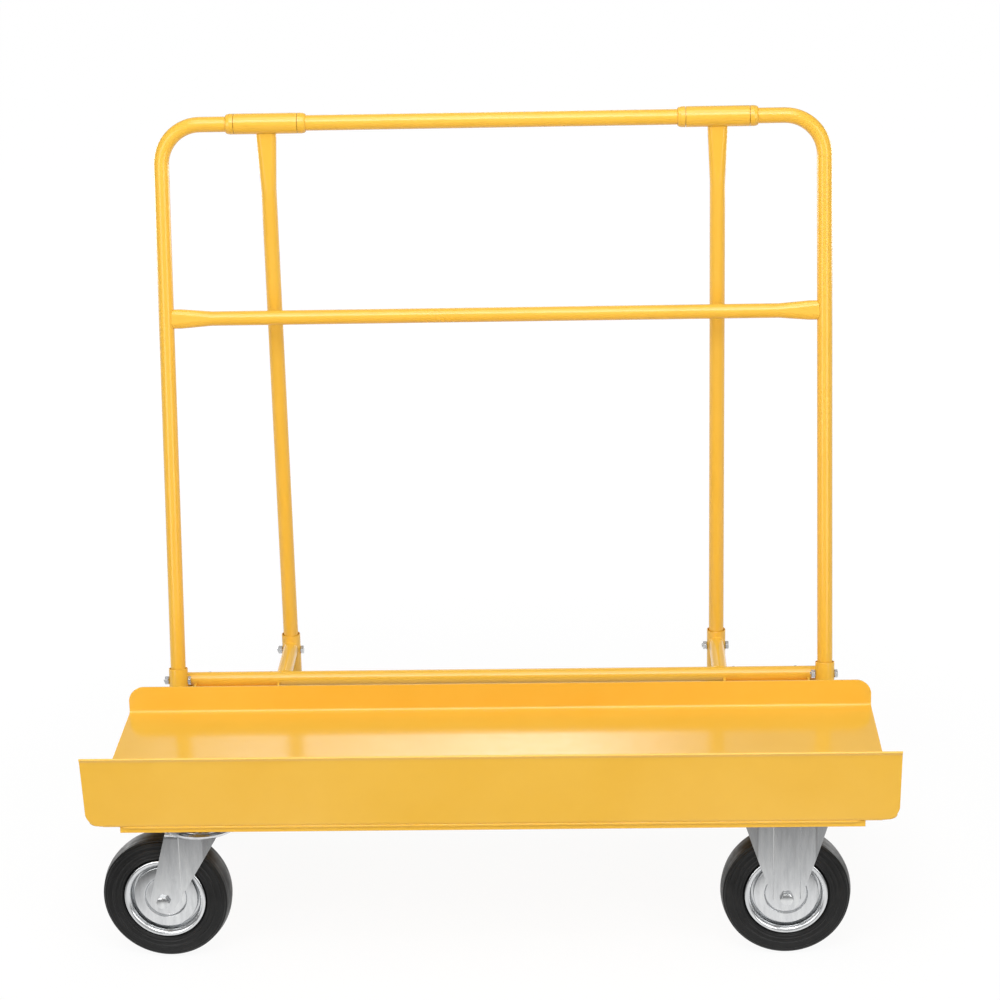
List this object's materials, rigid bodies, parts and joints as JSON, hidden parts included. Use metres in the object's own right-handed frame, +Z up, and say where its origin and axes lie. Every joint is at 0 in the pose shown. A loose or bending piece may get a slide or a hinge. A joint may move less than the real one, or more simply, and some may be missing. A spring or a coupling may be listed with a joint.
{
  "type": "drywall cart",
  "caption": "Yellow sheet-steel drywall cart: long low tray with a raised front lip, a leaning tube back frame on rear props, and rubber-tyred swivel and rigid casters.",
  "frame": {"origin": "on the floor, at the middle of the cart's length and depth", "axes": "+X along the tray towards the rigid casters, +Y from the front lip to the rear props, +Z up"},
  "size_m": [1.22, 0.7858, 1.193],
  "materials": {
    "yellow_paint": "glossy powder coat",
    "zinc_plate": "bright zinc plating",
    "bright_steel": "ground steel",
    "tyre": "matt moulded rubber"
  },
  "bodies": {
    "cart": {"deck_tray": "yellow_paint", "front_channel": "yellow_paint", "caster_channel_left": "yellow_paint", "caster_channel_right": "yellow_paint", "rear_rail": "yellow_paint", "front_socket_left": "yellow_paint", "front_socket_right": "yellow_paint", "outrigger_left": "yellow_paint", "outrigger_right": "yellow_paint", "rear_socket_left": "yellow_paint", "rear_socket_right": "yellow_paint", "upright_frame": "yellow_paint", "mid_bar": "yellow_paint", "rear_prop_left": "yellow_paint", "rear_prop_right": "yellow_paint", "prop_sleeve_left": "yellow_paint", "prop_sleeve_right": "yellow_paint", "stop_collars": "yellow_paint", "socket_bolts": "zinc_plate", "socket_nuts": "zinc_plate", "caster_bolts": "zinc_plate", "caster_washers": "zinc_plate", "caster_nuts": "zinc_plate", "rigid_plate_front": "zinc_plate", "rigid_plate_rear": "zinc_plate", "rigid_fork_front": "zinc_plate", "rigid_fork_rear": "zinc_plate", "rigid_axle_bolts": "zinc_plate", "rigid_axle_nuts": "zinc_plate", "rigid_axle_sleeves": "bright_steel", "swivel_plate_front": "zinc_plate", "kingpin_front": "bright_steel", "king_nut_front": "zinc_plate", "swivel_plate_rear": "zinc_plate", "kingpin_rear": "bright_steel", "king_nut_rear": "zinc_plate"},
    "front_swivel": {"swivel_fork_front": "zinc_plate", "race_balls_front": "bright_steel", "swivel_axle_bolt_front": "zinc_plate", "swivel_axle_nut_front": "zinc_plate", "swivel_axle_sleeve_front": "bright_steel"},
    "rear_swivel": {"swivel_fork_rear": "zinc_plate", "race_balls_rear": "bright_steel", "swivel_axle_bolt_rear": "zinc_plate", "swivel_axle_nut_rear": "zinc_plate", "swivel_axle_sleeve_rear": "bright_steel"},
    "front_swivel_wheel": {"swivel_rim_front": "zinc_plate", "swivel_tyre_front": "tyre", "swivel_rollers_front": "bright_steel"},
    "rear_swivel_wheel": {"swivel_rim_rear": "zinc_plate", "swivel_tyre_rear": "tyre", "swivel_rollers_rear": "bright_steel"},
    "front_rigid_wheel": {"rigid_rim_front": "zinc_plate", "rigid_tyre_front": "tyre", "rigid_rollers_front": "bright_steel"},
    "rear_rigid_wheel": {"rigid_rim_rear": "zinc_plate", "rigid_tyre_rear": "tyre", "rigid_rollers_rear": "bright_steel"}
  },
  "joints": [
    {"name": "front_swivel_turn", "type": "hinge", "parent": "cart", "child": "front_swivel", "pos_m": [-0.447, -0.28381, 0.1], "axis": [0, 0, 1], "continuous": true},
    {"name": "front_swivel_wheel_spin", "type": "hinge", "parent": "front_swivel", "child": "front_swivel_wheel", "pos_m": [-0.50677, -0.27858, 0.1], "axis": [0.0872, 0.9962, 0], "continuous": true},
    {"name": "rear_swivel_turn", "type": "hinge", "parent": "cart", "child": "rear_swivel", "pos_m": [-0.447, 0.22419, 0.1], "axis": [0, 0, 1], "continuous": true},
    {"name": "rear_swivel_wheel_spin", "type": "hinge", "parent": "rear_swivel", "child": "rear_swivel_wheel", "pos_m": [-0.507, 0.22419, 0.1], "axis": [0, 1, 0], "continuous": true},
    {"name": "front_rigid_wheel_spin", "type": "hinge", "parent": "cart", "child": "front_rigid_wheel", "pos_m": [0.447, -0.28381, 0.1], "axis": [0, 1, 0], "continuous": true},
    {"name": "rear_rigid_wheel_spin", "type": "hinge", "parent": "cart", "child": "rear_rigid_wheel", "pos_m": [0.447, 0.22419, 0.1], "axis": [0, 1, 0], "continuous": true}
  ]
}
